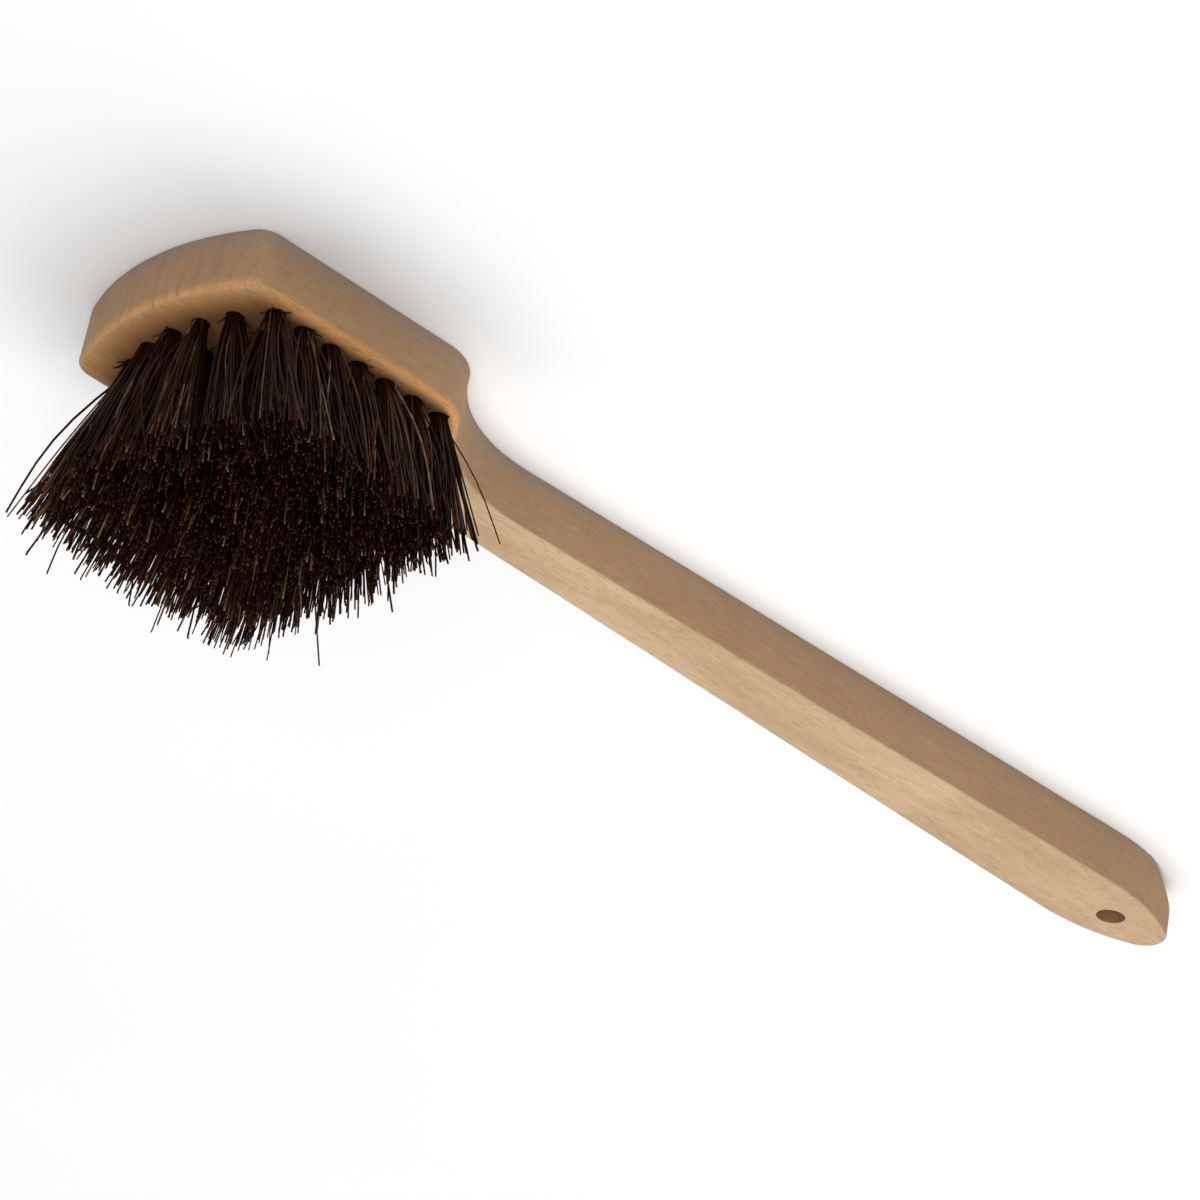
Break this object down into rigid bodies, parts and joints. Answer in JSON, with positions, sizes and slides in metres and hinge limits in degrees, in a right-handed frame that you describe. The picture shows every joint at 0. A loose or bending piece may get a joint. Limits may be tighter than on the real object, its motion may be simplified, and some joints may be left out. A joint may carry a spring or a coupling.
{
  "type": "long-handled dry brush",
  "caption": "Long-handled dry brush: flat one-piece hardwood block with a broad bowed head, waisted neck and hanging hole, filled with stapled tufts of stiff dark fibre that fan outwards.",
  "frame": {"origin": "on the flat back face, under the middle of the brush's length and width", "axes": "+X runs from the head along the handle to its tip, +Z points from the flat back face towards the bristle tips, and +Y is across the head"},
  "size_m": [0.508, 0.1318, 0.072],
  "materials": {
    "hardwood": "matte",
    "fibre": "satin",
    "staple_wire": "satin"
  },
  "bodies": {
    "root": {"handle_block": "hardwood", "anchor_staples": "staple_wire", "tuft_1_1": "fibre", "tuft_1_2": "fibre", "tuft_1_3": "fibre", "tuft_1_4": "fibre", "tuft_1_5": "fibre", "tuft_1_6": "fibre", "tuft_1_7": "fibre", "tuft_2_1": "fibre", "tuft_2_2": "fibre", "tuft_2_3": "fibre", "tuft_2_4": "fibre", "tuft_2_5": "fibre", "tuft_2_6": "fibre", "tuft_2_7": "fibre", "tuft_3_1": "fibre", "tuft_3_2": "fibre", "tuft_3_3": "fibre", "tuft_3_4": "fibre", "tuft_3_5": "fibre", "tuft_3_6": "fibre", "tuft_3_7": "fibre", "tuft_4_1": "fibre", "tuft_4_2": "fibre", "tuft_4_3": "fibre", "tuft_4_4": "fibre", "tuft_4_5": "fibre", "tuft_4_6": "fibre", "tuft_4_7": "fibre", "tuft_5_1": "fibre", "tuft_5_2": "fibre", "tuft_5_3": "fibre", "tuft_5_4": "fibre", "tuft_5_5": "fibre", "tuft_5_6": "fibre", "tuft_5_7": "fibre", "tuft_6_1": "fibre", "tuft_6_2": "fibre", "tuft_6_3": "fibre", "tuft_6_4": "fibre", "tuft_6_5": "fibre", "tuft_6_6": "fibre", "tuft_6_7": "fibre", "tuft_7_1": "fibre", "tuft_7_2": "fibre", "tuft_7_3": "fibre", "tuft_7_4": "fibre", "tuft_7_5": "fibre", "tuft_7_6": "fibre", "tuft_7_7": "fibre"}
  },
  "joints": []
}
